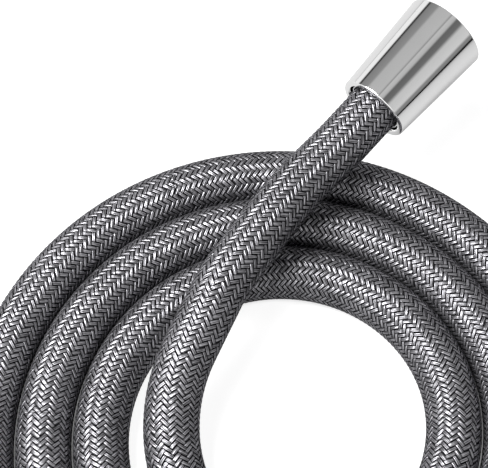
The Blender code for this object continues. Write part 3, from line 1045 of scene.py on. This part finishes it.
FLOOR_HALF = 2.0
FLOOR_DROP = -0.0002
FLOOR_GREY = (0.30, 0.30, 0.30)
SEEN_WHITE = 0.92
MIRRORED_WHITE = 0.42
CONTACT_REACH = 0.006
CONTACT_SHADE = (0.05, 0.35)

BLACK = (0.0, 0.0, 0.0)
WHITE = (1.0, 1.0, 1.0)


def studio_world():
    """White to the camera, a soft light on the object, and strips and a panel for metal to mirror."""
    world = bpy.data.worlds.new("studio")
    world.use_nodes = True
    f = Finish.of_tree(world.node_tree)
    direction = f.add("ShaderNodeTexCoord").outputs["Generated"]
    front = (TOWARDS_CAMERA - CONE_AXIS * CONE_AXIS.dot(TOWARDS_CAMERA)).normalized()
    side = CONE_AXIS.cross(front)
    across = f.dot(direction, side)
    facing = f.dot(direction, front)
    share = f.math("ARCTAN2", across, facing) / (2 * pi) + 0.5
    stops = [((angle + 180) / 360, (grey, grey, grey)) for angle, grey in STRIPS]
    strips = f.add("ShaderNodeValToRGB", {"stops": stops}, {0: share}).outputs[0]
    behind = f.ramp(-f.dot(direction, CONE_AXIS), *PANEL_BEHIND)
    above = f.ramp(f.dot(direction, (0.0, 0.0, 1.0)), *PANEL_ABOVE)
    strips = f.mix(behind * above, strips, PANEL_WHITE)
    seen, mirrored = f.ray_kinds()
    light = f.mix(mirrored, SOFT_LIGHT, strips)
    light = f.mix(seen, light, WHITE)
    background = f.add("ShaderNodeBackground", inputs={"Color": light, "Strength": 1.0})
    f.add("ShaderNodeOutputWorld", inputs={"Surface": background.outputs[0]})
    return world


class HOSE_OT_stage(bpy.types.Operator):
    """Set the floor, the lamp and the camera"""

    bl_idname = "hose.stage"
    bl_label = "Stage"

    def execute(self, context):
        scene = context.scene
        scene.view_settings.view_transform = "Standard"
        camera = bpy.data.cameras.new("camera")
        camera.sensor_width = SENSOR
        camera.lens = LENS
        scene.camera = self.aimed("camera", camera, TOWARDS_CAMERA, CAMERA_DISTANCE)
        scene.world = studio_world()

        bm = bmesh.new()
        bmesh.ops.create_grid(bm, x_segments=1, y_segments=1, size=FLOOR_HALF)
        floor = bpy.data.objects.new("floor", to_mesh(bm, "floor"))
        floor.location.z = FLOOR_DROP
        scene.collection.objects.link(floor)
        floor.data.materials.append(self.floor_finish())
        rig.stage(floor)

        key = bpy.data.lights.new("key", "AREA")
        key.size = KEY_SIZE
        key.energy = KEY_POWER
        self.aimed("key", key, TOWARDS_KEY, KEY_DISTANCE)
        return {"FINISHED"}

    def aimed(self, name, data, direction, distance):
        """Places a camera or lamp away from what the camera looks at, and turns it to look there."""
        thing = bpy.data.objects.new(name, data)
        thing.location = LOOKED_AT + direction * distance
        thing.rotation_euler = direction.to_track_quat("Z", "Y").to_euler()
        bpy.context.scene.collection.objects.link(thing)
        return thing

    def floor_finish(self):
        """White to the camera, but for the shade right under the hose, and grey to mirrors."""
        f = Finish("white_floor", Base_Color=FLOOR_GREY, Roughness=0.9, Specular_IOR_Level=0.0)
        seen, mirrored = f.ray_kinds()
        inputs = {"Distance": CONTACT_REACH}
        open_sky = f.add("ShaderNodeAmbientOcclusion", {"samples": 8}, inputs).outputs["AO"]
        white = (seen * SEEN_WHITE + mirrored * MIRRORED_WHITE) * f.ramp(open_sky, *CONTACT_SHADE)
        f.feed("Emission Strength", 1.0)
        f.feed("Emission Color", f.mix(white, BLACK, WHITE))
        return f.material


# ---------------------------------------------------------------- add-on


class HOSE_PT_panel(bpy.types.Panel):
    """The hose's pieces and sizes"""

    bl_label = "Braided Hose"
    bl_idname = "HOSE_PT_panel"
    bl_space_type = "VIEW_3D"
    bl_region_type = "UI"
    bl_category = "Hose"

    def draw(self, context):
        for group in (context.scene.hose_sizes, context.scene.hose_colours):
            for name in group.__annotations__:
                self.layout.prop(group, name)
        for operator in OPERATORS:
            self.layout.operator(operator.bl_idname)


OPERATORS = (
    HOSE_OT_stage,
    HOSE_OT_jackets,
    HOSE_OT_liners,
    HOSE_OT_cone_nut,
    HOSE_OT_hex_nut,
    HOSE_OT_ferrules,
    HOSE_OT_fittings,
)
CLASSES = (HoseSizes, HoseColours, *OPERATORS, HOSE_PT_panel)


def register():
    for thing in CLASSES:
        bpy.utils.register_class(thing)
    bpy.types.Scene.hose_sizes = PointerProperty(type=HoseSizes)
    bpy.types.Scene.hose_colours = PointerProperty(type=HoseColours)


def unregister():
    del bpy.types.Scene.hose_colours
    del bpy.types.Scene.hose_sizes
    for thing in reversed(CLASSES):
        bpy.utils.unregister_class(thing)


def main():
    register()
    bpy.ops.hose.stage()
    bpy.ops.hose.jackets()
    bpy.ops.hose.liners()
    bpy.ops.hose.cone_nut()
    bpy.ops.hose.hex_nut()
    bpy.ops.hose.ferrules()
    bpy.ops.hose.fittings()
    sizes = {
        "cad": [list(corner) for corner in CAD_BOX],
        "visual": [list(corner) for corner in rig.bounds()],
    }
    with open("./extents.json", "w") as file:
        json.dump(sizes, file)


if __name__ == "__main__":
    main()
